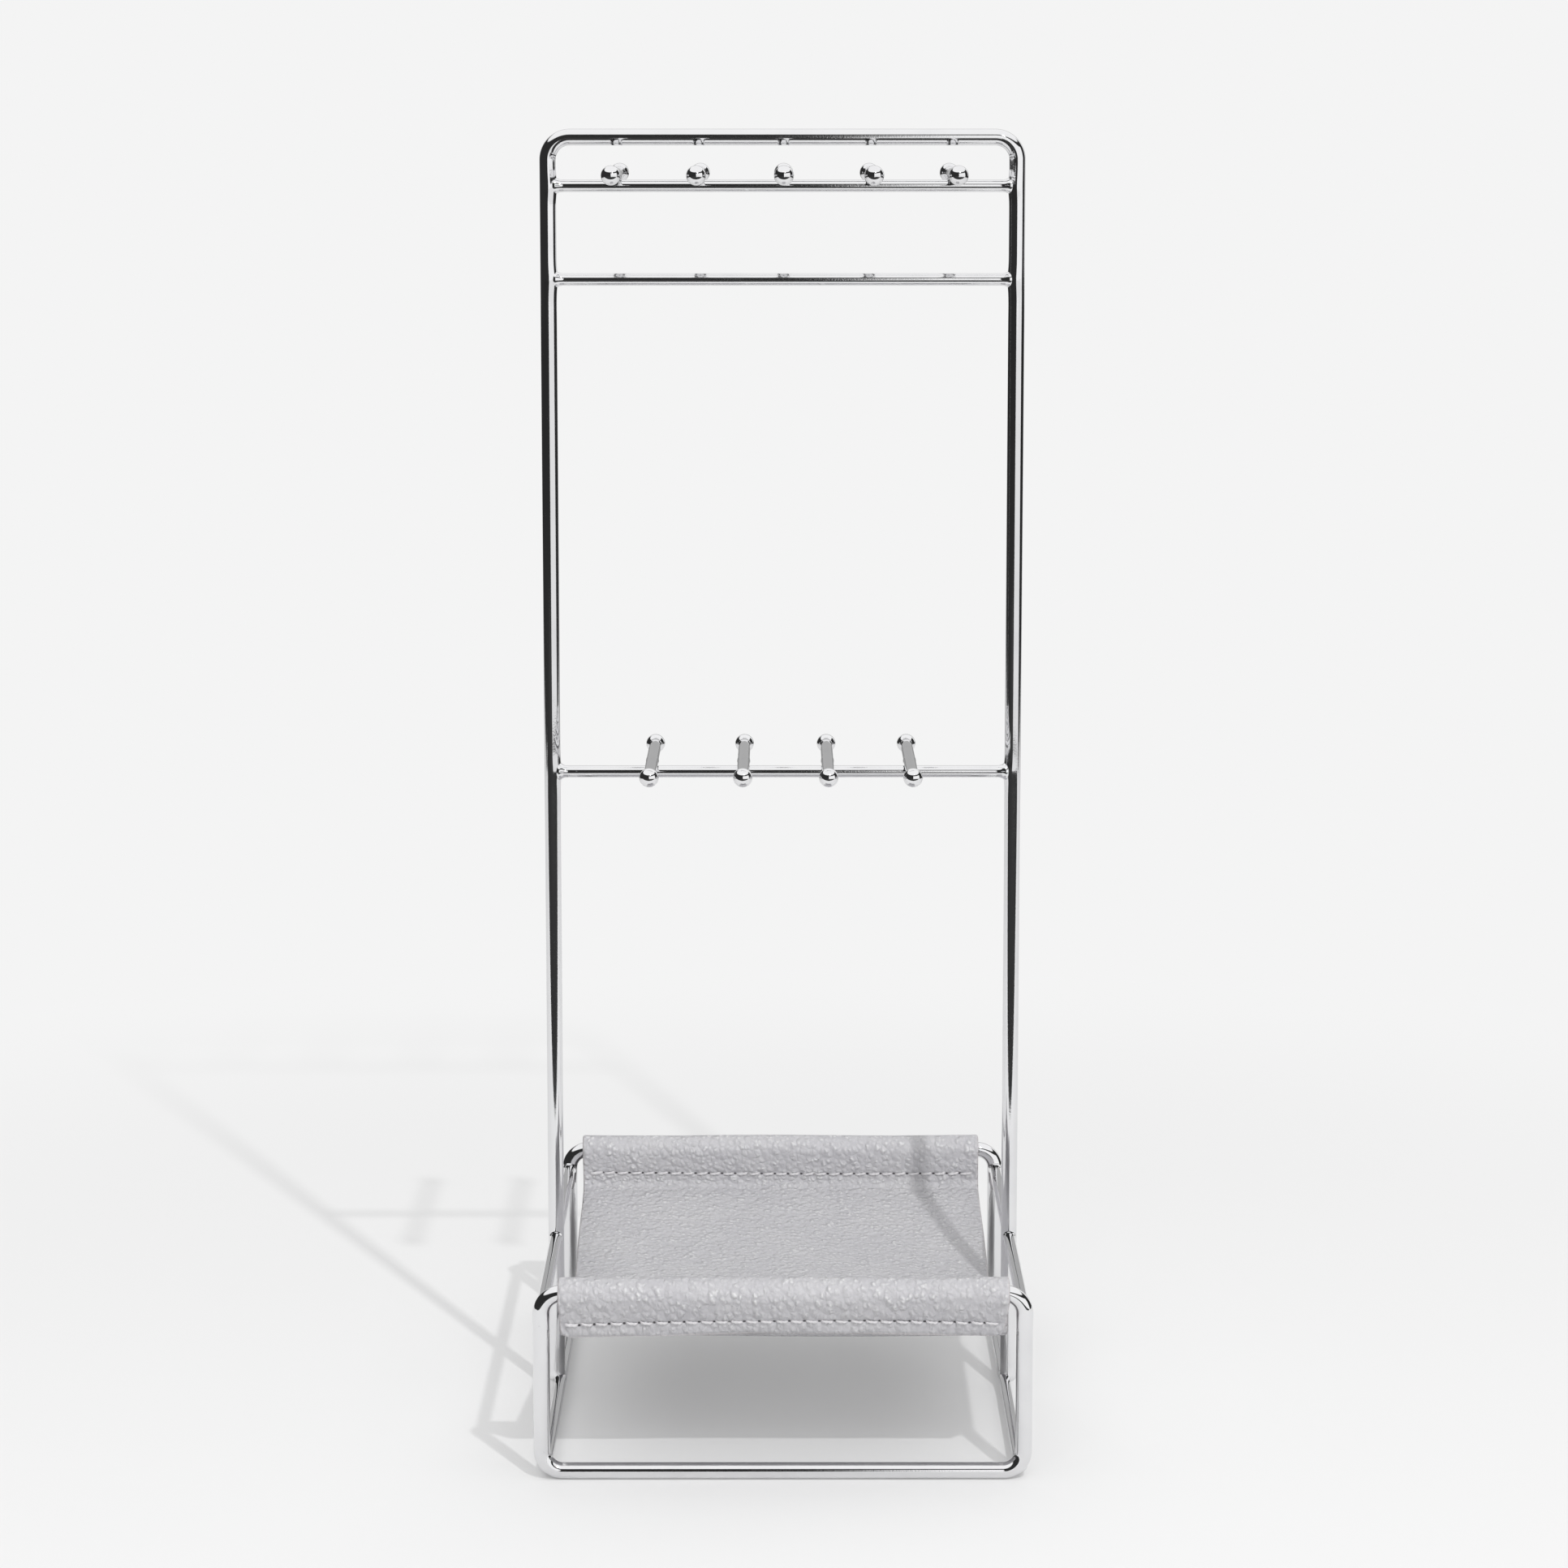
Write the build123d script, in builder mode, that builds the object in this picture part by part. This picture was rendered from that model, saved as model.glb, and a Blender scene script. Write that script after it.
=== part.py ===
"""Wire valet stand: a tall bent-wire frame with hanging pegs on a wire base that carries a leather sling tray.

Millimetres, +Z up, front towards -Y. The origin is on the floor, under the middle of the stand.
"""

import math
import os

from build123d import *

# Overall size of the wirework, measured over the outside of the wire
overall_width = 120.0
overall_depth = 150.0
overall_height = 321.6
base_height = 48.0

# Wire
frame_wire = 4.0  # tall frame and the two base loops
cross_wire = 3.0  # crossbars, pegs and rails
frame_bend = 5.5  # centre-line bend radius of the tall frame
loop_bend = 5.0  # centre-line bend radius of the base loops

# Heights of the crossbars' centre lines
upper_peg_bar_height = 307.7
plain_bar_height = 284.7
middle_peg_bar_height = 161.4

# Pegs lie across their bar, sunk a little into it by the weld
peg_length = 59.0  # from ball centre to ball centre
peg_rise = 2.9  # from the bar's centre line to the peg's
ball_diameter = 4.8
upper_peg_places = (-41.3, -20.8, 0.3, 22.0, 42.3)
middle_peg_places = (-32.8, -9.8, 11.3, 32.0)

# Rails of the base
top_rail_height = 40.9
bottom_rail_height = 3.0
bottom_rail_place = 57.2  # distance from the middle plane
bottom_rail_setback = 1.0  # from the loops' middle plane to the rail's end
foot_height = 3.6  # where the uprights end, in the crown of the bottom rails

# Leather sling: one sheet, hemmed round the top bar of each base loop
sling_width = 108.0
leather = 1.6
bar_clearance = 0.3
hem_slope = 98.0  # slope of the hem's inner layer, in degrees turned down from the inward horizontal
flap_slope = 66.0  # and of its outer layer, the flap
tray_slope = 16.0  # and of the tray where it leaves the hem
stitch_depth = 6.0  # below the bar's centre, along each layer
flap_depth = 10.2  # lower edge of the flap
tray_turn = 2.5  # radius of the turn from the hem into the tray

# Stitches
stitch_pitch = 3.6
stitch_count = 29
stitch_length = 2.7
stitch_width = 0.6
stitch_thickness = 0.3

# Worked out from the above
upright_place = (overall_width - frame_wire) / 2
loop_place = (overall_depth - frame_wire) / 2
top_bar_height = overall_height - frame_wire / 2
loop_top_height = base_height - frame_wire / 2
loop_foot_height = frame_wire / 2

os.makedirs("parts", exist_ok=True)


def finish(piece, label):
    """Labels a finished piece and writes it as its own file."""
    piece.part.label = label
    export_step(piece.part, f"parts/{label}.step")
    return piece.part


def straight_wire(label, start, end, neighbours=()):
    """A straight length of cross wire, coped to fit the neighbours it is welded to."""
    run = Vector(*end) - Vector(*start)
    with BuildPart() as wire:
        with BuildSketch(Plane(origin=start, z_dir=run)):
            Circle(cross_wire / 2)
        extrude(amount=run.length)
        for neighbour in neighbours:
            add(neighbour, mode=Mode.SUBTRACT)
    return finish(wire, label)


# Base loops: closed rounded rectangles of wire, upright at the front and at the rear
def base_loop(label, place):
    """One base loop in the vertical plane at this place along Y."""
    side = upright_place
    with BuildPart() as loop:
        with BuildLine() as path:
            FilletPolyline(
                (side, place, loop_foot_height),
                (side, place, loop_top_height),
                (-side, place, loop_top_height),
                (-side, place, loop_foot_height),
                close=True,
                radius=loop_bend,
            )
        with BuildSketch(Plane(origin=path.line @ 0, z_dir=path.line % 0)):
            Circle(frame_wire / 2)
        sweep(path=path.line)
    return finish(loop, label)


front_loop = base_loop("front_base_loop", -loop_place)
rear_loop = base_loop("rear_base_loop", loop_place)

# Bottom rails run unbroken from loop to loop, low down inside the bottom bends
bottom_rails = {}
for side_name, side in (("left", -1), ("right", 1)):
    rail_end = loop_place - bottom_rail_setback
    bottom_rails[side_name] = straight_wire(
        f"{side_name}_bottom_rail",
        (side * bottom_rail_place, -rail_end, bottom_rail_height),
        (side * bottom_rail_place, rail_end, bottom_rail_height),
        (front_loop, rear_loop),
    )

# Tall frame: one wire bent into an upside-down U, whose feet stand on the bottom rails
with BuildPart() as tall_frame:
    with BuildLine() as tall_path:
        FilletPolyline(
            (-upright_place, 0, foot_height),
            (-upright_place, 0, top_bar_height),
            (upright_place, 0, top_bar_height),
            (upright_place, 0, foot_height),
            radius=frame_bend,
        )
    with BuildSketch(Plane(origin=tall_path.line @ 0, z_dir=tall_path.line % 0)):
        Circle(frame_wire / 2)
    sweep(path=tall_path.line)
    for rail in bottom_rails.values():
        add(rail, mode=Mode.SUBTRACT)
tall_frame_part = finish(tall_frame, "tall_frame")

# Top rails are broken by the uprights, so each side has a front and a rear half
for side_name, side in (("left", -1), ("right", 1)):
    for end_name, loop, end in (("front", front_loop, -1), ("rear", rear_loop, 1)):
        straight_wire(
            f"{side_name}_{end_name}_top_rail",
            (side * upright_place, end * loop_place, top_rail_height),
            (side * upright_place, 0, top_rail_height),
            (loop, tall_frame_part),
        )


def crossbar(label, height):
    """A crossbar between the two uprights."""
    return straight_wire(
        label, (-upright_place, 0, height), (upright_place, 0, height), (tall_frame_part,)
    )


upper_peg_bar = crossbar("upper_peg_bar", upper_peg_bar_height)
crossbar("plain_bar", plain_bar_height)
middle_peg_bar = crossbar("middle_peg_bar", middle_peg_bar_height)


def peg(name, place, bar, bar_height):
    """A rod across the bar, with a ball on each end."""
    height = bar_height + peg_rise
    rod = straight_wire(
        f"{name}_rod", (place, -peg_length / 2, height), (place, peg_length / 2, height), (bar,)
    )
    for end_name, end in (("front", -1), ("rear", 1)):
        with BuildPart() as ball:
            with Locations((place, end * peg_length / 2, height)):
                Sphere(ball_diameter / 2)
            add(rod, mode=Mode.SUBTRACT)
        finish(ball, f"{name}_{end_name}_ball")


for number, place in enumerate(upper_peg_places, start=1):
    peg(f"upper_peg_{number}", place, upper_peg_bar, upper_peg_bar_height)
for number, place in enumerate(middle_peg_places, start=1):
    peg(f"middle_peg_{number}", place, middle_peg_bar, middle_peg_bar_height)

# Leather sling. Its side profile is drawn for the rear half, in the hem's own directions:
# down runs from the bar along the hem, and inward stands square to it, towards the tray.
bar_centre = Vector(loop_place, loop_top_height)
hem_down = Vector(-1, 0).rotate(Axis.Z, hem_slope)
hem_inward = hem_down.rotate(Axis.Z, -90)
inner_radius = frame_wire / 2 + bar_clearance
outer_radius = inner_radius + leather


def hem_point(down, inward):
    """A point of the side profile, from distances along and square to the hem."""
    return bar_centre + hem_down * down + hem_inward * inward


# The flap leaves the bar closer to the tray than the inner layer does, so the two close in on each
# other. The inner layer turns away into the tray where it comes to touch the flap.
flap_turn = hem_slope - flap_slope
flap_down = hem_down.rotate(Axis.Z, -flap_turn)
flap_outward = flap_down.rotate(Axis.Z, 90)
layers_meet = inner_radius / math.tan(math.radians(flap_turn / 2))
hem_straight = layers_meet - (tray_turn + leather) * math.tan(math.radians(flap_turn / 2))
around_bar = 180 + flap_turn


def flap_point(down, outward):
    """A point of the side profile, from distances along and square to the flap."""
    return bar_centre + flap_down * down + flap_outward * outward


# The tray's upper face: a short turn out of the hem, then one wide arc that is level in the middle
turn_start = hem_point(hem_straight, outer_radius)
turned = hem_slope - tray_slope
hem_sine, tray_sine = (math.sin(math.radians(a)) for a in (hem_slope, tray_slope))
hem_cosine, tray_cosine = (math.cos(math.radians(a)) for a in (hem_slope, tray_slope))
turn_end = turn_start - Vector(hem_sine - tray_sine, tray_cosine - hem_cosine) * tray_turn
tray_radius = turn_end.X / tray_sine
tray_bottom = turn_end.Y - tray_radius * (1 - tray_cosine)

with BuildPart() as leather_sling:
    with BuildSketch(Plane.YZ):
        with BuildLine():
            Line(hem_point(0, outer_radius), turn_start)
            JernArc(turn_start, hem_down, tray_turn, -turned)
            JernArc((0, tray_bottom), (1, 0), tray_radius, tray_slope)
            Line((0, tray_bottom), (0, tray_bottom - leather))
            lower_arc = JernArc(
                (0, tray_bottom - leather), (1, 0), tray_radius + leather, tray_slope
            )
            lower_turn = JernArc(
                lower_arc @ 1, lower_arc % 1, tray_turn + leather, flap_slope - tray_slope
            )
            Line(lower_turn @ 1, flap_point(flap_depth, inner_radius))
            Line(flap_point(flap_depth, inner_radius), flap_point(flap_depth, outer_radius))
            Line(flap_point(flap_depth, outer_radius), flap_point(0, outer_radius))
            JernArc(hem_point(0, outer_radius), hem_down * -1, outer_radius, -around_bar)
        make_face()
        with BuildLine():
            Line(hem_point(0, inner_radius), hem_point(hem_straight, inner_radius))
            Line(hem_point(hem_straight, inner_radius), flap_point(hem_straight, inner_radius))
            Line(flap_point(hem_straight, inner_radius), flap_point(0, inner_radius))
            JernArc(hem_point(0, inner_radius), hem_down * -1, inner_radius, -around_bar)
        make_face(mode=Mode.SUBTRACT)
        mirror(about=Plane.YZ)
    extrude(amount=sling_width / 2, both=True)
finish(leather_sling, "leather_sling")


# Stitches: one row through both layers of each hem, showing on the tray's face and on the flap
def stitching(label, end):
    """The stitches of the hem at this end, on both of its faces."""
    with BuildPart() as stitches:
        for place, face in (
            (hem_point(stitch_depth, outer_radius), hem_inward),
            (flap_point(stitch_depth, outer_radius), flap_outward),
        ):
            with BuildSketch(
                Plane(
                    origin=(0, end * place.X, place.Y),
                    x_dir=(1, 0, 0),
                    z_dir=(0, end * face.X, face.Y),
                )
            ):
                with GridLocations(stitch_pitch, 0, stitch_count, 1):
                    SlotOverall(stitch_length, stitch_width)
            extrude(amount=stitch_thickness)
    finish(stitches, label)


stitching("front_stitching", -1)
stitching("rear_stitching", 1)

sheet_length = 2 * (
    math.radians(tray_slope) * (tray_radius + leather / 2)
    + math.radians(turned) * (tray_turn + leather / 2)
    + hem_straight
    + math.radians(around_bar) * (inner_radius + leather / 2)
    + flap_depth
)
print(f"tray: bottom {tray_bottom:.2f}, radius {tray_radius:.1f}, sheet about {sheet_length:.0f} long")
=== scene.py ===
import math

import bpy
import numpy as np
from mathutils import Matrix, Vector


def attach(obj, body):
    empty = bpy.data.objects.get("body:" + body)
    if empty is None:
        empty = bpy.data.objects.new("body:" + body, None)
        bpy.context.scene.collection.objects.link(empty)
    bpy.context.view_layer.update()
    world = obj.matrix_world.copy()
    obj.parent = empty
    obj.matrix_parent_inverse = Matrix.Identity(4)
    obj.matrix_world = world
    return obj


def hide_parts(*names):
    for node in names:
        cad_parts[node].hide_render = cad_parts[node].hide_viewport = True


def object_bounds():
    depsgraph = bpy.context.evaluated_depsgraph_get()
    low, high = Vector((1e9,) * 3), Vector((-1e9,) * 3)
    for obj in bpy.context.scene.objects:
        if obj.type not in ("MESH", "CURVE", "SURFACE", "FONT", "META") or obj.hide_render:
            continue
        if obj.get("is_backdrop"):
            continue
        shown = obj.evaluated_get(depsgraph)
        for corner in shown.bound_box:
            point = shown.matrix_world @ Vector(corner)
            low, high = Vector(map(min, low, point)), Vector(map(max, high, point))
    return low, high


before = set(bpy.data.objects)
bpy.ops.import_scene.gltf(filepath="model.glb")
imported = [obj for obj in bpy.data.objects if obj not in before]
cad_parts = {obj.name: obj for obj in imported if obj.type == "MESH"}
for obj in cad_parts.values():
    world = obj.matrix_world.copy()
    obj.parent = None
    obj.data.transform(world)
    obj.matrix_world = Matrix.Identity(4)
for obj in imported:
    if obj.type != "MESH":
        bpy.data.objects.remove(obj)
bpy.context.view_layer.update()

scene = bpy.context.scene
mm = 0.001
print("frame loaded,", len(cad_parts), "nodes")

camera = {
    "place": (-0.95, -1075.54, 323.94),  # mm
    "down": 8.761,  # degrees below the horizontal
    "turn": -0.07,  # degrees about the vertical
    "lens": 99.03,
    "sensor": 36.0,
}


def makeCamera():
    data = bpy.data.cameras.new("camera")
    data.lens = camera["lens"]
    data.sensor_width = camera["sensor"]
    data.clip_start = 0.01  # m
    stand = bpy.data.objects.new("camera", data)
    stand.location = [v * mm for v in camera["place"]]
    stand.rotation_euler = (math.radians(90 - camera["down"]), 0, math.radians(camera["turn"]))
    scene.collection.objects.link(stand)
    scene.camera = stand


makeCamera()
print("camera placed")


class Sock:
    # a socket that can be written in sums

    def __init__(self, net, socket):
        self.net = net
        self.socket = socket

    def sum(self, operation, *values):
        inputs = dict(enumerate(values))
        return self.net.add("ShaderNodeMath", {"operation": operation}, inputs)

    def __add__(self, other):
        return self.sum("ADD", self, other)

    def __radd__(self, other):
        return self.sum("ADD", other, self)

    def __sub__(self, other):
        return self.sum("SUBTRACT", self, other)

    def __rsub__(self, other):
        return self.sum("SUBTRACT", other, self)

    def __mul__(self, other):
        return self.sum("MULTIPLY", self, other)

    def __rmul__(self, other):
        return self.sum("MULTIPLY", other, self)

    def __truediv__(self, other):
        return self.sum("DIVIDE", self, other)

    def __rtruediv__(self, other):
        return self.sum("DIVIDE", other, self)

    def __pow__(self, other):
        return self.sum("POWER", self, other)

    def __rpow__(self, other):
        return self.sum("POWER", other, self)

    def __abs__(self):
        return self.sum("ABSOLUTE", self)

    def __mod__(self, other):
        return self.sum("FLOORED_MODULO", self, other)

    def most(self, other):
        return self.sum("MAXIMUM", self, other)

    def sine(self):
        return self.sum("SINE", self)

    def __gt__(self, other):
        return self.sum("GREATER_THAN", self, other)

    def __lt__(self, other):
        return self.sum("LESS_THAN", self, other)

    def rise(self, low, high):
        # 0 below low, 1 above high, smooth between
        settings = {"interpolation_type": "SMOOTHSTEP"}
        return self.net.add("ShaderNodeMapRange", settings, {0: self, 1: low, 2: high})

    def axis(self, which):
        split = self.net.add("ShaderNodeSeparateXYZ", {}, {0: self})
        return Sock(self.net, split.socket.node.outputs[which])


class Net:
    # the nodes of one material, world or lamp

    def __init__(self, owner):
        owner.use_nodes = True
        self.tree = owner.node_tree
        self.tree.nodes.clear()

    def add(self, kind, settings, inputs, output=0):
        node = self.tree.nodes.new(kind)
        for name, value in settings.items():
            setattr(node, name, value)
        for name, value in inputs.items():
            if isinstance(value, Sock):
                self.tree.links.new(value.socket, node.inputs[name])
            else:
                node.inputs[name].default_value = value
        return Sock(self, node.outputs[output]) if node.outputs else None

    def noise(self, place, scale, detail=2.0, roughness=0.5):
        inputs = {"Vector": place, "Scale": scale, "Detail": detail, "Roughness": roughness}
        return self.add("ShaderNodeTexNoise", {}, inputs)

    def blend(self, share, first, second):
        return self.add("ShaderNodeMix", {"data_type": "RGBA"}, {0: share, 6: first, 7: second}, 2)

    def stretch(self, place, scale, turn=(0, 0, 0)):
        return self.add("ShaderNodeMapping", {}, {"Vector": place, "Rotation": turn, "Scale": scale})

    def bump(self, height, distance, strength=1.0):
        return self.add(
            "ShaderNodeBump", {}, {"Height": height, "Distance": distance, "Strength": strength}
        )


chrome = {
    "colour": (0.80, 0.80, 0.81, 1),
    "dull": (0.70, 0.70, 0.715, 1),
    "roughness": 0.035,
    "drawLines": 0.000003,  # m
    "cloudScale": 90,  # per m
    "lineScale": 2600,
    "pitScale": 260.0,
}


def chromeMaterial(name, lines):
    # bright plate: large soft cloudiness in tone and roughness, fine unevenness left by drawing the wire, and
    # a few pin-head pits
    material = bpy.data.materials.new(name)
    net = Net(material)
    place = net.add("ShaderNodeTexCoord", {}, {}, 3)
    cloud = net.noise(place, chrome["cloudScale"], 3.0)
    fine = net.noise(place, chrome["lineScale"], 2.0)
    pits = net.add("ShaderNodeTexVoronoi", {}, {"Vector": place, "Scale": chrome["pitScale"]})
    pit = 1 - pits.rise(0.03, 0.07)
    share = cloud.rise(0.45, 0.75) * 0.35 + pit * 0.5
    colour = net.blend(share, chrome["colour"], chrome["dull"])
    rough = chrome["roughness"] + cloud.rise(0.4, 0.8) * 0.03 + fine * 0.02 + pit * 0.15
    height = fine * lines - pit * 0.4
    normal = net.bump(height, chrome["drawLines"])
    shader = net.add(
        "ShaderNodeBsdfPrincipled",
        {},
        {"Base Color": colour, "Metallic": 1.0, "Roughness": rough, "Normal": normal},
    )
    net.add("ShaderNodeOutputMaterial", {}, {"Surface": shader})
    return material


ring = 32  # points round a wire
bendPoints = 25  # points along each quarter circle of a path


def unit(v):
    return v / np.linalg.norm(v, axis=-1, keepdims=True)


def roundedPath(corners, bend, step, closed=False):
    # straight runs between the corners, and at each square corner a quarter circle tangent to both runs
    corners = np.array(corners, float)
    count = len(corners)
    arcs = []
    for i in range(count):
        here = corners[i]
        if not closed and i in (0, count - 1):
            arcs.append(here[None])
            continue
        back = unit(corners[i - 1] - here)
        on = unit(corners[(i + 1) % count] - here)
        turn = np.linspace(0, math.pi / 2, bendPoints)[:, None]
        arcs.append(here + (back + on) * bend - bend * (on * np.cos(turn) + back * np.sin(turn)))
    rows = []
    for i in range(count):
        rows.append(arcs[i])
        if closed or i < count - 1:
            start = arcs[i][-1]
            end = arcs[(i + 1) % count][0]
            share = np.linspace(0, 1, max(2, int(np.linalg.norm(end - start) / step)) + 1)[1:-1, None]
            rows.append(start + (end - start) * share)
    return np.concatenate(rows)


def wireGrid(path, radius, across, closed=False, welds=()):
    # a circle of the wire's radius carried square to the path; each weld adds a bell of swelling round its
    # place, on the side that faces its direction if it has one
    across = np.array(across, float)
    if closed:
        ahead = unit(np.roll(path, -1, 0) - np.roll(path, 1, 0))
    else:
        ahead = unit(np.gradient(path, axis=0))
    side = np.cross(across, ahead)
    angle = np.linspace(0, 2 * math.pi, ring, endpoint=False)[None, :, None]
    circle = side[:, None] * np.cos(angle) + across * np.sin(angle)
    reach = np.full(circle.shape[:2], float(radius))
    for weld in welds:
        near = np.linalg.norm(path - np.array(weld["place"], float), axis=1)[:, None]
        bell = np.exp(-((near / weld["reach"]) ** 2))
        if "toward" in weld:
            facing = circle @ np.array(weld["toward"], float)
            bell = bell * np.clip(0.5 + 0.5 * facing, 0, 1) ** 2
        reach += weld["grow"] * bell
    return path[:, None] + circle * reach[..., None]


def closeGrid(grid, loop=False):
    # quads between the rows, round every column; open ends are closed by a fan to the middle of the end row
    rows, columns = grid.shape[:2]
    index = np.arange(rows * columns).reshape(rows, columns)
    lower = index if loop else index[:-1]
    upper = np.roll(index, -1, 0) if loop else index[1:]
    quads = np.stack([lower, np.roll(lower, -1, 1), np.roll(upper, -1, 1), upper], -1).reshape(-1, 4)
    points = grid.reshape(-1, 3)
    fans = np.zeros((0, 3), int)
    if not loop:
        ends = np.stack([grid[0].mean(0), grid[-1].mean(0)])
        first = np.stack([np.roll(index[0], -1), index[0], np.full(columns, rows * columns)], -1)
        last = np.stack([index[-1], np.roll(index[-1], -1), np.full(columns, rows * columns + 1)], -1)
        points = np.concatenate([points, ends])
        fans = np.concatenate([first, last])
    a, b, c = (points[quads[:, k]] for k in (0, 1, 2))
    d = points[quads[:, 3]]
    volume = (np.cross(a, b) * c).sum() + (np.cross(a, c) * d).sum()
    if volume < 0:
        quads = quads[:, ::-1]
        fans = fans[:, ::-1]
    return points, quads, fans


def makePiece(name, shells, material, nodes, uv=None, marks=None):
    # several closed shells in one mesh, in mm
    points, faces, start = [], [], 0
    for shellPoints, quads, fans in shells:
        points.append(shellPoints)
        faces += (quads + start).tolist() + (fans + start).tolist()
        start += len(shellPoints)
    mesh = bpy.data.meshes.new(name)
    mesh.from_pydata((np.concatenate(points) * mm).tolist(), [], faces)
    if uv is not None:
        corner = np.zeros(len(mesh.loops), int)
        mesh.loops.foreach_get("vertex_index", corner)
        layer = mesh.uv_layers.new(name="cut")
        layer.data.foreach_set("uv", uv[corner].ravel())
    for mark, values in (marks or {}).items():
        mesh.attributes.new(mark, "FLOAT", "POINT").data.foreach_set("value", values)
    mesh.shade_smooth()
    mesh.materials.append(material)
    piece = bpy.data.objects.new(name, mesh)
    scene.collection.objects.link(piece)
    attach(piece, "root")
    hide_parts(*nodes)
    return piece


wirework = {
    "frameRadius": 2.0,
    "crossRadius": 1.5,
    "uprightPlace": 58.0,
    "loopPlace": 73.0,
    "topBar": 319.6,
    "loopTop": 46.0,
    "loopFoot": 2.0,
    "frameBend": 5.5,
    "loopBend": 5.0,
    "foot": 3.6,
    "topRail": 40.9,
    "bottomRail": 3.0,
    "bottomRailPlace": 57.2,
    "bars": {"upper_peg_bar": 307.7, "plain_bar": 284.7, "middle_peg_bar": 161.4},
    "step": 0.8,  # between points along a bent wire
    "straightStep": 0.5,
    "loopRailWeld": 57.4,  # distance of the bottom rails' welds from the middle plane
    "railEnd": 72.4,  # where the bottom rails end, in the loops
    "railWeld": 71.6,
    "sunk": 1.6,  # from an upright's or loop's line to the collar of a weld on it
    # how much each weld swells the wire, and its reach along the wire
    "footWeld": {"grow": 0.25, "reach": 1.3},
    "barWeld": {"grow": 0.3, "reach": 2.6},
    "loopWeld": {"grow": 0.3, "reach": 2.2},
    "crownWeld": {"grow": 0.5, "reach": 2.6},
    "loopCollar": {"grow": 0.4, "reach": 0.9},
    "uprightCollar": {"grow": 0.35, "reach": 0.9},
    "railTip": {"grow": -0.8, "reach": 0.9},  # the hidden ends are drawn in
    "barTip": {"grow": -0.9, "reach": 0.9},
    "barCollar": {"upper_peg_bar": 0.6, "plain_bar": 0.6, "middle_peg_bar": 0.9},
    "barCollarReach": 0.95,
    "footShare": (0.9, 0.6, 0.25),  # the foot's rounding: share of the radius, and how far down
    "footDrop": (0.5, 1.0, 1.3),
}
chromeWire = chromeMaterial("chromeWire", 1.0)
chromeBall = chromeMaterial("chromeBall", 0.3)


def weldAt(place, kind, **more):
    return {"place": place, **wirework[kind], **more}


def tallFrame():
    # an upside-down U of wire; its feet swell a little into the rails and are rounded off under them
    w = wirework
    x = w["uprightPlace"]
    corners = [(-x, 0, w["foot"]), (-x, 0, w["topBar"]), (x, 0, w["topBar"]), (x, 0, w["foot"])]
    path = roundedPath(corners, w["frameBend"], w["step"])
    welds = [weldAt((s * x, 0, w["foot"]), "footWeld") for s in (-1, 1)]
    for height in w["bars"].values():
        welds += [weldAt((s * x, 0, height), "barWeld", toward=(-s, 0, 0)) for s in (-1, 1)]
    grid = wireGrid(path, w["frameRadius"], (0, 1, 0), welds=welds)
    share = np.array(w["footShare"])[:, None, None]
    drop = np.array(w["footDrop"])[:, None, None] * np.array([0, 0, -1.0])
    first = (grid[0] - path[0]) * share + path[0] + drop
    last = (grid[-1] - path[-1]) * share + path[-1] + drop
    grid = np.concatenate([first[::-1], grid, last])
    makePiece("tallFrame", [closeGrid(grid)], chromeWire, ["tall_frame"])


def baseLoop(end, y):
    # a closed rounded rectangle of wire, swollen where the rails are welded on
    w = wirework
    x = w["uprightPlace"]
    low = w["loopFoot"]
    high = w["loopTop"]
    corners = [(x, y, low), (x, y, high), (-x, y, high), (-x, y, low)]
    path = roundedPath(corners, w["loopBend"], w["step"], closed=True)
    inward = (0, -np.sign(y), 0)
    welds = []
    for s in (-1, 1):
        welds.append(weldAt((s * x, y, w["topRail"]), "loopWeld", toward=inward))
        welds.append(weldAt((s * w["loopRailWeld"], y, w["bottomRail"]), "loopWeld", toward=inward))
    grid = wireGrid(path, w["frameRadius"], (0, 1, 0), closed=True, welds=welds)
    makePiece(f"{end}BaseLoop", [closeGrid(grid, True)], chromeWire, [f"{end}_base_loop"])


def straightWire(name, start, end, node, welds=()):
    # a plain round wire from point to point, swollen at its welds
    w = wirework
    share = np.linspace(0, 1, int(math.dist(start, end) / w["straightStep"]))[:, None]
    path = np.array(start, float) + (np.array(end, float) - np.array(start, float)) * share
    grid = wireGrid(path, w["crossRadius"], (0, 0, 1), welds=welds)
    makePiece(name, [closeGrid(grid)], chromeWire, [node])


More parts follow.
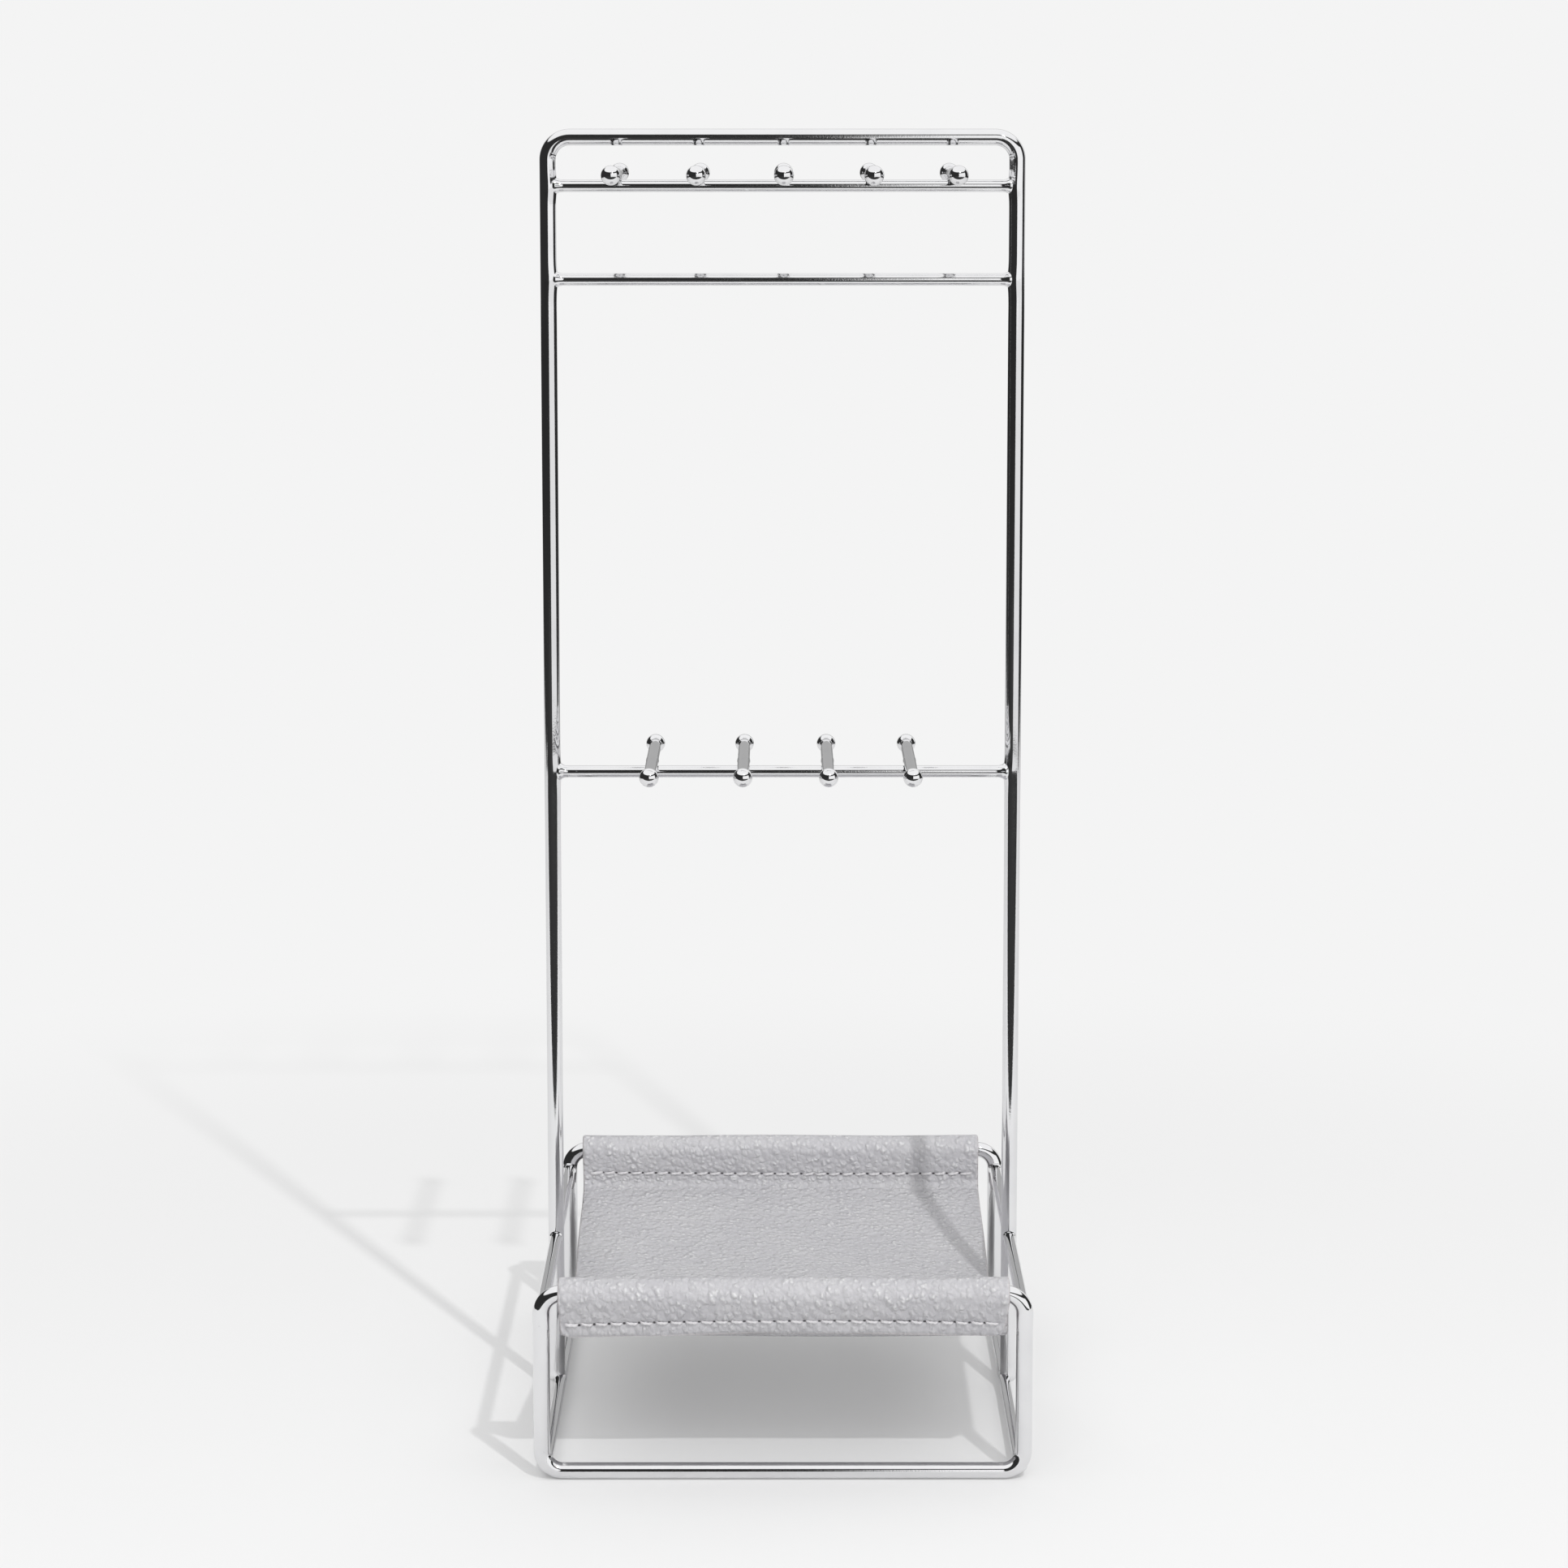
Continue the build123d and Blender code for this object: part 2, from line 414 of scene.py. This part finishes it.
tallFrame()
baseLoop("front", -wirework["loopPlace"])
baseLoop("rear", wirework["loopPlace"])
barNames = {"upper_peg_bar": "upperPegBar", "plain_bar": "plainBar", "middle_peg_bar": "middlePegBar"}
sunk = wirework["sunk"]
for node, height in wirework["bars"].items():
    x = wirework["uprightPlace"]
    collar = {"grow": wirework["barCollar"][node], "reach": wirework["barCollarReach"]}
    welds = [{"place": (s * (x - sunk), 0, height), **collar} for s in (-1, 1)]
    welds += [weldAt((s * x, 0, height), "barTip") for s in (-1, 1)]
    straightWire(barNames[node], (-x, 0, height), (x, 0, height), node, welds)
for sideName, s in (("left", -1), ("right", 1)):
    x = s * wirework["uprightPlace"]
    high = wirework["topRail"]
    far = wirework["loopPlace"]
    for endName, e in (("front", -1), ("rear", 1)):
        welds = [
            weldAt((x, e * (far - sunk), high), "loopCollar"),
            weldAt((x, e * sunk, high), "uprightCollar"),
            weldAt((x, e * far, high), "railTip"),
            weldAt((x, 0, high), "railTip"),
        ]
        name = f"{sideName}{endName.title()}TopRail"
        straightWire(name, (x, e * far, high), (x, 0, high), f"{sideName}_{endName}_top_rail", welds)
    x = s * wirework["bottomRailPlace"]
    low = wirework["bottomRail"]
    far = wirework["railEnd"]
    welds = [weldAt((x, e * wirework["railWeld"], low), "loopCollar") for e in (-1, 1)]
    welds.append(weldAt((x, 0, low), "crownWeld", toward=(0, 0, 1)))
    straightWire(f"{sideName}BottomRail", (x, -far, low), (x, far, low), f"{sideName}_bottom_rail", welds)
print("wirework done")

pegs = {
    "length": 59.0,  # mm, from ball centre to ball centre
    "rise": 2.9,
    "ballRadius": 2.4,
    "upper": (-41.3, -20.8, 0.3, 22.0, 42.3),
    "middle": (-32.8, -9.8, 11.3, 32.0),
    "ballRows": 26,
    "seat": 0.6,  # how far below the rod's line its weld sits
    "seatWeld": {"grow": 0.55, "reach": 1.7, "toward": (0, 0, -1)},
    "neck": 2.3,  # from the ball's centre to the collar where it meets the rod
    "neckWeld": {"grow": 0.18, "reach": 0.4},
}


def ballGrid(centre, radius):
    # a sphere with its poles on the rod's line: circles of radius times sine at heights of radius times
    # cosine
    polar = np.linspace(0, math.pi, pegs["ballRows"])[1:-1, None]
    about = np.linspace(0, 2 * math.pi, ring, endpoint=False)[None]
    x = radius * np.sin(polar) * np.cos(about)
    z = radius * np.sin(polar) * np.sin(about)
    y = radius * np.cos(polar) + 0 * about
    return np.stack([x, y, z], -1) + np.array(centre, float)


def makePegs(row, height):
    for number, x in enumerate(pegs[row], start=1):
        z = height + pegs["rise"]
        half = pegs["length"] / 2
        welds = [{"place": (x, 0, z - pegs["seat"]), **pegs["seatWeld"]}]
        welds += [{"place": (x, e * (half - pegs["neck"]), z), **pegs["neckWeld"]} for e in (-1, 1)]
        name = f"{row}Peg{number}"
        node = f"{row}_peg_{number}"
        straightWire(f"{name}Rod", (x, -half, z), (x, half, z), f"{node}_rod", welds)
        for endName, e in (("front", -1), ("rear", 1)):
            shell = closeGrid(ballGrid((x, e * half, z), pegs["ballRadius"]))
            ball = f"{name}{endName.title()}Ball"
            makePiece(ball, [shell], chromeBall, [f"{node}_{endName}_ball"])


makePegs("upper", wirework["bars"]["upper_peg_bar"])
makePegs("middle", wirework["bars"]["middle_peg_bar"])
print("pegs done")

sling = {
    "thick": 1.6,  # mm
    "barClearance": 0.3,
    "hemSlope": 98.0,  # degrees
    "flapSlope": 66.0,
    "traySlope": 16.0,
    "flapRun": 9.3,  # from where the flap leaves the bar to its edge
    "trayTurn": 2.5,
    "trayStitch": {-1: 5.8, 1: 5.5},  # depth of the seam on the tray's layer, front and rear
    "flapStitch": {-1: 5.7, 1: 5.9},  # and on the flap
    "cornerRound": 2.2,
    "frontEdges": (-53.8, 54.3),  # left and right edge at the front bar
    "rearEdges": (-54.4, 53.5),
    "flapInset": (0.5, 1.2),  # how much further in the flap's lower end is
    "groove": 0.2,
    "press": 0.22,  # how much deeper each needle hole is
    "softEdge": 0.55,  # rounding of the cut edges
    "columns": 190,
    "rimRows": 9,  # rows round a cut edge
    "halfWide": 54,  # half the width, over which the waves are drawn
    "rows": {"tray": 30, "turn": 12, "hem": 22, "roll": 26, "flap": 12, "tail": 26},
    "evenFlap": 5,  # how far down the flap the rows are even
}
stitch = {
    "pitch": 3.6,
    "count": 29,
    "length": 3.0,
    "radius": 0.34,
    "slant": 7.0,  # degrees
    "twists": 3.2,
    "shift": -0.25,  # of the whole row, to the left
    "arch": 0.19,  # how high the middle of a stitch stands
    "dive": 0.42,  # how far its ends go down
    "sunk": 0.1,  # how deep the thread lies in its groove
    "flapSunk": 0.15,  # and how much deeper on the flap
    "plies": 0.14,
    "firstHeavy": 1.25,  # the first stitch is sewn over again, so it is thicker and longer
    "firstLong": 1.15,
    "lastLong": 1.12,
    "rings": 17,
    "points": 14,
}


def slingLengths():
    # lengths and turns of the centre line from the middle of the tray to the end of the flap
    half = sling["thick"] / 2
    slope, tray = (math.radians(sling[k]) for k in ("hemSlope", "traySlope"))
    inner = wirework["frameRadius"] + sling["barClearance"]
    outer = inner + sling["thick"]
    down = np.array([-math.cos(slope), -math.sin(slope)])
    inward = np.array([-math.sin(slope), math.cos(slope)])
    bar = np.array([wirework["loopPlace"], wirework["loopTop"]])
    flapTurn = math.radians(sling["hemSlope"] - sling["flapSlope"])
    squeeze = math.tan(flapTurn / 2)
    hemStraight = inner / squeeze - (sling["trayTurn"] + sling["thick"]) * squeeze
    turnStart = bar + down * hemStraight + inward * outer
    spread = math.sin(slope) - math.sin(tray)
    turnEnd = turnStart - np.array([spread, math.cos(tray) - math.cos(slope)]) * sling["trayTurn"]
    trayRadius = turnEnd[0] / math.sin(tray)
    bottom = turnEnd[1] - trayRadius * (1 - math.cos(tray))
    runs = [
        (tray * (trayRadius + half), tray),
        ((slope - tray) * (sling["trayTurn"] + half), slope - tray),
        (hemStraight, 0.0),
        ((math.pi + flapTurn) * (inner + half), -(math.pi + flapTurn)),
        (sling["flapRun"], 0.0),
    ]
    flapDown = down * math.cos(flapTurn) + inward * math.sin(flapTurn)
    flapOut = down * math.sin(flapTurn) - inward * math.cos(flapTurn)
    # each layer's outer face at the bar's height, the way down it and the way out of it
    faces = {1: (bar + inward * outer, down, inward), -1: (bar + flapOut * outer, flapDown, flapOut)}
    return runs, bottom - half, faces


runs, trayMiddle, hemFaces = slingLengths()
runEnds = np.cumsum([r[0] for r in runs])
halfLength = runEnds[-1]


def seamLine(end, onTray):
    # how far along the strip the seam runs on this layer, before its waves
    if onTray > 0:
        return runEnds[2] - sling["trayStitch"][end]
    return runEnds[3] + sling["flapStitch"][end]


def centreLine(s):
    # the heading is the sum of the turns made so far; the place is the running sum of its cosine and sine
    fine = np.linspace(0, halfLength, 12001)
    heading = np.zeros_like(fine)
    start = 0.0
    for length, turn in runs:
        heading += turn * np.clip((fine - start) / length, 0, 1)
        start += length
    width = 61
    kernel = np.hanning(width + 2)[1:-1]
    padded = np.pad(heading, width // 2, mode="edge")
    heading = np.convolve(padded, kernel / kernel.sum(), "valid")
    step = fine[1] - fine[0]
    middle = (heading[1:] + heading[:-1]) / 2
    y = np.concatenate([[0], np.cumsum(np.cos(middle)) * step])
    z = trayMiddle + np.concatenate([[0], np.cumsum(np.sin(middle)) * step])
    return [np.interp(s, fine, v) for v in (y, z, heading)]


def stitchWave(t, end, wave):
    # how much lower the seam runs than its mean line: a bow in front, lowest at the left; a slow wave behind
    return (t * t * 0.9 - t * 0.25) if end < 0 else wave * 0.2


def edgeWave(x, end):
    # how much lower the flap's edge hangs: a bow, lowest at the left, with two small ripples
    t = x / sling["halfWide"]
    bow = 1.5 * t**2 - 0.35 * t
    ripple = 0.12 * np.sin(9 * t + 0.5) + 0.06 * np.sin(23 * t + 2.0)
    return (bow + ripple) if end < 0 else (0.8 + 0.3 * np.sin(2.5 * t) + ripple)


def stitchPlaces(end):
    x = (np.arange(stitch["count"]) - (stitch["count"] - 1) / 2) * stitch["pitch"]
    shake = np.sin(np.arange(stitch["count"]) * 2.4 + end) * 0.09
    return x + shake + stitch["shift"]


def slingRows():
    # rows close together round the bars and along the seams, further apart on the tray
    rows = sling["rows"]
    even = runEnds[3] + sling["evenFlap"]
    tray = np.linspace(0, runEnds[0], rows["tray"])[:-1]
    turn = np.linspace(runEnds[0], runEnds[1], rows["turn"])[:-1]
    hem = np.linspace(runEnds[1], runEnds[2], rows["hem"])[:-1]
    roll = np.linspace(runEnds[2], runEnds[3], rows["roll"])[:-1]
    flap = np.linspace(runEnds[3], even, rows["flap"])[:-1]
    tail = even + (runEnds[4] - even) * np.sin(np.linspace(0, math.pi / 2, rows["tail"]))
    half = np.concatenate([tray, turn, hem, roll, flap, tail])
    return np.concatenate([-half[:0:-1], half])


def slingGrid():
    # a thin rounded strip: across, the two faces and the two rounded cut edges; along, the centre line
    # mirrored about the middle; seams, sag, waviness and the pinch of the thread are added along the strip's normal
    s = slingRows()[:, None]
    half = sling["thick"] / 2
    count = sling["columns"]
    soft = sling["softEdge"]
    face = np.linspace(-1, 1, count)
    edge = np.linspace(math.pi / 2, -math.pi / 2, sling["rimRows"])[1:-1]
    across = np.concatenate([face, np.ones(len(edge)), face[::-1], -np.ones(len(edge))])
    past = np.concatenate([0 * face, soft * np.cos(edge), 0 * face, -soft * np.cos(edge[::-1])])
    high = np.concatenate([0 * face + half, half * np.sin(edge), 0 * face - half, half * np.sin(edge[::-1])])
    cutEdge = np.concatenate([0 * face, np.ones(len(edge)), 0 * face, np.ones(len(edge))])
    topFace = np.concatenate([np.ones(count), np.zeros(2 * len(edge) + count)])
    end = np.where(s < 0, -1, 1)
    far = np.abs(s)
    share = np.clip(s / runEnds[2], -1, 1) * 0.5 + 0.5
    left = sling["frontEdges"][0] + (sling["rearEdges"][0] - sling["frontEdges"][0]) * share
    right = sling["frontEdges"][1] + (sling["rearEdges"][1] - sling["frontEdges"][1]) * share
    onFlap = np.clip((far - runEnds[3]) / (runEnds[4] - runEnds[3]), 0, 1)
    left = left + sling["flapInset"][0] * onFlap + 0.15 * np.sin(far / 9)
    right = right - sling["flapInset"][1] * onFlap - 0.15 * np.sin(far / 11 + 1)
    rest = halfLength - far
    corner = sling["cornerRound"]
    inset = corner - np.sqrt(np.clip(corner**2 - np.clip(corner - rest, 0, corner) ** 2, 0, None))
    inset = np.minimum(inset, corner * 0.93)
    left = left + inset
    right = right - inset
    x = (left + right) / 2 + (right - left - 2 * soft) / 2 * across + past
    t = x / sling["halfWide"]
    # along the strip, the flap's end waves
    seam = seamLine(-1, -1)
    tail = np.clip((far - seam) / (halfLength - seam), 0, 1)
    wave = np.where(end < 0, edgeWave(x, -1), edgeWave(x, 1))
    y, z, heading = centreLine(np.clip(far + tail * np.minimum(wave, 0), 0, halfLength))
    extra = tail * np.maximum(wave, 0)
    y = y + np.cos(heading) * extra
    z = z + np.sin(heading) * extra
    # along the normal
    lift = high * np.ones_like(x)
    thin = 1 - 0.35 * np.exp(-((rest / 0.5) ** 2))
    lift = lift * thin
    for onTray in (1, -1):
        for e in (-1, 1):
            seam = seamLine(e, onTray) - onTray * stitchWave(t, e, np.sin(t * 2.1 + 1.0))
            near = np.exp(-(((far - seam) / 0.75) ** 2)) * (end == e)
            comb = 0 * x
            for place in stitchPlaces(e):
                for side in (-1, 1):
                    hole = place + side * stitch["length"] / 2
                    comb = comb + np.exp(-(((x - hole) / 0.38) ** 2))
            lift = lift - near * (sling["groove"] + sling["press"] * comb) * topFace
    # the tray's face is not quite flat, and the flap stands off a little between its stitches
    lift = lift + 0.35 * np.sin(far / 17 + 2 * t) * np.exp(-((t / 0.9) ** 2)) * (far < runEnds[0])
    lift = lift + 0.12 * np.sin(7 * t + end) * tail
    lift = lift + 0.10 * np.sin(5.3 * t + 2) * np.clip((far - runEnds[2]) / 3, 0, 1) * (1 - tail)
    lift = lift - 0.15 * np.exp(-(((far - seamLine(-1, -1)) / 2.2) ** 2))
    normalY = -np.sin(heading)
    normalZ = np.cos(heading)
    points = np.stack([x, end * (y + normalY * lift), z + normalZ * lift], -1)
    edgeMark = cutEdge + 0 * x
    edgeMark = np.maximum(edgeMark, (rest < 0.15) * 1.0)
    return points, x, s + 0 * x, edgeMark


def makeSling(material):
    # the grid's own distances across and along the strip are its UV map; the last two points close its ends
    grid, x, s, edgeMark = slingGrid()
    uv = np.stack([np.append(x.ravel(), [0.0, 0.0]), np.append(s.ravel(), [s.min(), s.max()])], -1) * mm
    marks = {"cutEdge": np.append(edgeMark.ravel(), [1.0, 1.0])}
    return makePiece("leatherSling", [closeGrid(grid)], material, ["leather_sling"], uv, marks)


def stitchGrids(end):
    # each stitch is a short bent rod whose ends dive into their holes; two plies wind round each other, so
    # the radius swells twice round the rod and the swelling turns along it
    along = np.linspace(-1, 1, stitch["rings"])[:, None]
    angle = np.linspace(0, 2 * math.pi, stitch["points"], endpoint=False)[None]
    ply = 1 + stitch["plies"] * np.cos(2 * (angle - stitch["twists"] * along * 1.5))
    taper = np.sqrt(np.clip(1 - along**8, 0.02, 1))
    bow = stitch["arch"] * (1 - along**4) - stitch["dive"] * along**6
    shells = []
    places = stitchPlaces(end)
    for onTray in (1, -1):
        origin, down, normal = hemFaces[onTray]
        depth = sling["trayStitch" if onTray > 0 else "flapStitch"][end]
        sunk = stitch["sunk"] + (stitch["flapSunk"] if onTray < 0 else 0.0)
        for number, place in enumerate(places):
            length = stitch["length"]
            radius = stitch["radius"] * (1 + 0.06 * math.sin(number * 3.1))
            if number == 0:
                length *= stitch["firstLong"]
                radius *= stitch["firstHeavy"]
            if number == len(places) - 1:
                length *= stitch["lastLong"]
            slant = math.radians(stitch["slant"] + 2 * math.sin(number * 1.7)) * onTray
            r = radius * ply * taper
            u = along * length / 2 + 0 * angle
            v = r * np.cos(angle)
            n = bow + r * np.sin(angle) * 0.85 - sunk
            x = place + u * math.cos(slant) - v * math.sin(slant)
            t = x / sling["halfWide"]
            d = depth + stitchWave(t, end, np.sin(t * 2.1 + 1.0))
            d = d - (u * math.sin(slant) + v * math.cos(slant))
            y = origin[0] + down[0] * d + normal[0] * n
            z = origin[1] + down[1] * d + normal[1] * n
            shells.append(closeGrid(np.stack([x, end * y, z], -1)))
    return shells


leather = {
    "colour": (0.475, 0.470, 0.487, 1),
    "pale": (0.505, 0.500, 0.512, 1),
    "deep": (0.36, 0.355, 0.38, 1),
    "cut": (0.50, 0.48, 0.49, 1),
    "hole": (0.05, 0.045, 0.05, 1),
    "holeSize": (0.42, 0.30),  # mm, across and along the strip
    "roughness": 0.27,
    "pebble": 760.0,  # cells per m
    "grainHeight": 0.0006,  # m
    "paintedGlint": (0.78, 0.78, 0.78, 1),  # painted glints: the tops of the pebbles lightened to stand in for highlights
}


def leatherMaterial():
    # pebble grain: rounded cells about a millimetre across, drawn out down the flap, over broad soft tone, with
    # painted shade in the valleys and painted glints on the tops; the cut edges are raw and paler, and each needle
    # hole is painted dark as the shade inside it
    material = bpy.data.materials.new("leather")
    net = Net(material)
    cut = net.add("ShaderNodeUVMap", {"uv_map": "cut"}, {})
    x = cut.axis(0)
    s = cut.axis(1)
    far = abs(s)
    onFlap = far.rise(runEnds[3] * mm, (runEnds[3] + 3) * mm)
    beyond = (far - runEnds[3] * mm).most(0.0)
    lengthwise = s - ((s > 0.0) * 2 - 1) * beyond * 0.4
    warp = net.noise(cut, 700, 2.0)
    bent = net.add("ShaderNodeCombineXYZ", {}, {0: x + warp * 0.0012, 1: lengthwise - warp * 0.0012})
    cells = net.add(
        "ShaderNodeTexVoronoi",
        {"feature": "SMOOTH_F1"},
        {"Vector": bent, "Scale": leather["pebble"], "Smoothness": 0.75},
    )
    creases = net.add(
        "ShaderNodeTexVoronoi", {"feature": "DISTANCE_TO_EDGE"}, {"Vector": bent, "Scale": leather["pebble"]}
    )
    fine = net.noise(cut, 5200, 3.0, 0.6)
    broad = net.noise(cut, 45, 3.0)
    patch = net.noise(cut, 260, 3.0)
    valley = 1 - creases.rise(0.0, 0.3)
    strong = 0.6 + patch.rise(0.35, 0.65) * 0.4
    tone = net.blend(broad.rise(0.35, 0.68), leather["colour"], leather["pale"])
    # the valleys between the pebbles are painted darker, as painted shade in the grain's creases; the fine noise
    # adds random tone
    tone = net.blend(valley * strong * 0.4 + fine * 0.12, tone, leather["deep"])
    # a needle hole painted dark in each gap between the stitches, along each seam's own line: painted shade inside
    # the hole
    t = x / (sling["halfWide"] * mm)
    phase = ((x / mm - stitch["shift"]) / stitch["pitch"]) % 1.0
    wide, tall = leather["holeSize"]
    across = (phase - 0.5) * (phase - 0.5) * (stitch["pitch"] / wide) ** 2
    hole = 0.0
    for end in (-1, 1):
        wave = stitchWave(t, end, (t * 2.1 + 1.0).sine())
        for onTray in (1, -1):
            off = s * (end / mm) - seamLine(end, onTray) + wave * onTray
            hole = hole + 2.718 ** ((off * off / tall**2 + across) * -1)
    hole = hole.rise(0.15, 0.75) * (abs(x) < 51.5 * mm)
    tone = net.blend(hole, tone, leather["hole"])
    # painted glints: in pale patches the tops of the pebbles are lightened, as painted highlights of the light
    top = (1 - cells.rise(0.12, 0.42)) * patch.rise(0.42, 0.62) * (1 - onFlap * 0.6)
    tone = net.blend(top * 0.5, tone, leather["paintedGlint"])
    edge = net.add("ShaderNodeAttribute", {"attribute_name": "cutEdge"}, {}, 2)
    tone = net.blend(edge * (0.6 + fine * 0.4), tone, leather["cut"])
    rough = leather["roughness"] + patch * 0.12 + valley * 0.15 + edge * 0.3
    height = (1 - cells * 1.3) * strong + fine * 0.10 - valley * 0.10
    normal = net.bump(height, leather["grainHeight"], 0.9)
    shader = net.add(
        "ShaderNodeBsdfPrincipled",
        {},
        {"Base Color": tone, "Roughness": rough, "Normal": normal, "Specular IOR Level": 0.42},
    )
    net.add("ShaderNodeOutputMaterial", {}, {"Surface": shader})
    return material


thread = {
    "colour": (0.66, 0.65, 0.66, 1),
    "shade": (0.46, 0.45, 0.47, 1),
    "roughness": 0.62,
}


def threadMaterial():
    # waxed thread: fine fibres wound along it, a little darker where they sink
    material = bpy.data.materials.new("thread")
    net = Net(material)
    place = net.add("ShaderNodeTexCoord", {}, {}, 3)
    fibres = net.noise(net.stretch(place, (1, 2.2, 2.2), (0, 0, 0.6)), 6500, 3.0, 0.6)
    soil = net.noise(place, 150, 2.0)
    share = fibres.rise(0.35, 0.7) * 0.5 + soil * 0.25
    colour = net.blend(share, thread["colour"], thread["shade"])
    normal = net.bump(fibres, 0.00006, 0.8)
    rough = thread["roughness"] + fibres * 0.15
    shader = net.add(
        "ShaderNodeBsdfPrincipled",
        {},
        {"Base Color": colour, "Roughness": rough, "Normal": normal, "Sheen Weight": 0.15},
    )
    net.add("ShaderNodeOutputMaterial", {}, {"Surface": shader})
    return material


sheetPiece = makeSling(leatherMaterial())
threadFinish = threadMaterial()
frontThread = makePiece("frontStitching", stitchGrids(-1), threadFinish, ["front_stitching"])
rearThread = makePiece("rearStitching", stitchGrids(1), threadFinish, ["rear_stitching"])
print("sling and stitches done")

studio = {
    "white": 1.07,  # light from the ceiling, the backdrop and the card
    "dark": 0.03,
    "flat": 0.905,  # what the camera sees behind the stand
    "ceiling": (35.0, 40.0),  # degrees above the horizontal
    "backRight": (127.0, 133.0),  # degrees round from the front
    "backLeft": (147.0, 153.0),
    "backPatch": (0.77, 0.84),  # cosines at the edge of the darker patch behind the stand
    "backTone": 0.4,
    "card": (1.5, 80.0, 25.0),  # first and last degree round, and top
    "table": (1.16, -0.32),  # m, half width and front edge
    "tableBack": (0.8, 1.1),  # m, where the table fades out behind
    "ahead": (0.989, -0.148),  # the way straight behind the stand, as the camera sees it
    "floorReach": 6.0,  # m
    "floorTone": 0.735,
    "fade": (0.22, 0.55),  # m from the stand where the floor becomes flat
    "lift": 0.27,  # share of the flat tone laid over the shadows
    "key": {"place": (0.305, -0.834, 0.902), "radius": 0.017, "power": 15.0},
    "fill": {"place": (0.0, -1.6, 0.5), "size": 1.6, "power": 14.0, "aim": (0.0, 0.0, 0.05)},
}


def turnDegrees(net, x, y):
    # degrees round from the front, to the right
    return x.sum("ARCTAN2", x, y * -1) * (180 / math.pi)


def whiteAhead(turn, rise, ahead):
    # the ceiling, the backdrop and the card on the right, as one mask
    ceiling = rise.rise(*studio["ceiling"])
    right = turn.rise(*studio["backRight"])
    left = (turn * -1).rise(*studio["backLeft"])
    first, last, top = studio["card"]
    card = turn.rise(first - 1, first + 1) * (1 - turn.rise(last - 1, last + 1))
    card = card * (1 - rise.rise(top - 1, top + 1))
    patch = ahead.rise(*studio["backPatch"]) * (1 - studio["backTone"])
    return ceiling.most(right).most(left).most(card) * (1 - patch)


def makeWorld():
    # the stand's reflections see the studio by direction; the camera sees one even tone
    world = bpy.data.worlds.new("studio")
    scene.world = world
    net = Net(world)
    ray = net.add("ShaderNodeTexCoord", {}, {}, 0)
    z = ray.axis(2)
    turn = turnDegrees(net, ray.axis(0), ray.axis(1))
    rise = z.sum("ARCSINE", z) * (180 / math.pi)
    forward, drop = studio["ahead"]
    ahead = ray.axis(1) * forward + z * drop
    level = studio["dark"] + whiteAhead(turn, rise, ahead) * (studio["white"] - studio["dark"])
    seen = net.add("ShaderNodeLightPath", {}, {}, 0)
    level = level * (1 - seen) + seen * studio["flat"]
    shader = net.add("ShaderNodeBackground", {}, {"Color": (1, 1, 1, 1), "Strength": level})
    net.add("ShaderNodeOutputWorld", {}, {"Surface": shader})


def makeFloor():
    # the camera sees soft shadows on pale paper that fades to the even tone; reflections see a table with
    # dark past its edges, and the card's light on the right
    reach = studio["floorReach"]
    mesh = bpy.data.meshes.new("floor")
    corners = [(-reach, -reach, 0), (reach, -reach, 0), (reach, reach, 0), (-reach, reach, 0)]
    mesh.from_pydata(corners, [], [(0, 1, 2, 3)])
    material = bpy.data.materials.new("floorPaper")
    net = Net(material)
    place = net.add("ShaderNodeTexCoord", {}, {}, 3)
    x = place.axis(0)
    y = place.axis(1)
    seen = net.add("ShaderNodeLightPath", {}, {}, 0)
    away = (x * x + y * y) ** 0.5
    faded = away.rise(*studio["fade"])
    width, front = studio["table"]
    offTable = (abs(x) > width).most(y < front).most(y.rise(*studio["tableBack"]) * 0.6)
    turn = turnDegrees(net, x, y)
    first, last = studio["card"][:2]
    lit = (turn > first) * (turn < last) * (away > width)
    tone = studio["floorTone"] * (1 - offTable * (1 - seen)) + 0.03
    colour = net.add("ShaderNodeCombineColor", {}, {0: tone, 1: tone, 2: tone})
    paper = net.add("ShaderNodeBsdfDiffuse", {}, {"Color": colour})
    glow = net.add("ShaderNodeEmission", {}, {"Color": (1, 1, 1, 1), "Strength": studio["flat"]})
    share = seen * (studio["lift"] + faded * (1 - studio["lift"])) + (1 - seen) * offTable * lit
    shader = net.add("ShaderNodeMixShader", {}, {0: share, 1: paper, 2: glow})
    net.add("ShaderNodeOutputMaterial", {}, {"Surface": shader})
    mesh.materials.append(material)
    floor = bpy.data.objects.new("floor", mesh)
    scene.collection.objects.link(floor)
    floor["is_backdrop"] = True


def makeKey():
    # a small hard light in front, high on the right, that keeps its strength with distance
    key = studio["key"]
    data = bpy.data.lights.new("key", "POINT")
    data.energy = key["power"]
    data.shadow_soft_size = key["radius"]
    net = Net(data)
    even = net.add("ShaderNodeLightFalloff", {}, {"Strength": 1.0}, 2)
    shader = net.add("ShaderNodeEmission", {}, {"Color": (1, 1, 1, 1), "Strength": even})
    net.add("ShaderNodeOutputLight", {}, {"Surface": shader})
    lamp = bpy.data.objects.new("key", data)
    lamp.location = key["place"]
    scene.collection.objects.link(lamp)


def makeFill():
    # a broad soft light from the front that does not show in the plate
    fill = studio["fill"]
    data = bpy.data.lights.new("fill", "AREA")
    data.energy = fill["power"]
    data.size = fill["size"]
    lamp = bpy.data.objects.new("fill", data)
    lamp.location = fill["place"]
    aim = Vector(fill["aim"]) - Vector(fill["place"])
    lamp.rotation_euler = aim.to_track_quat("-Z", "Y").to_euler()
    lamp.visible_glossy = False
    scene.collection.objects.link(lamp)


makeWorld()
makeFloor()
makeKey()
makeFill()
scene.view_settings.view_transform = "Standard"
print("studio done")

low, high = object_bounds()
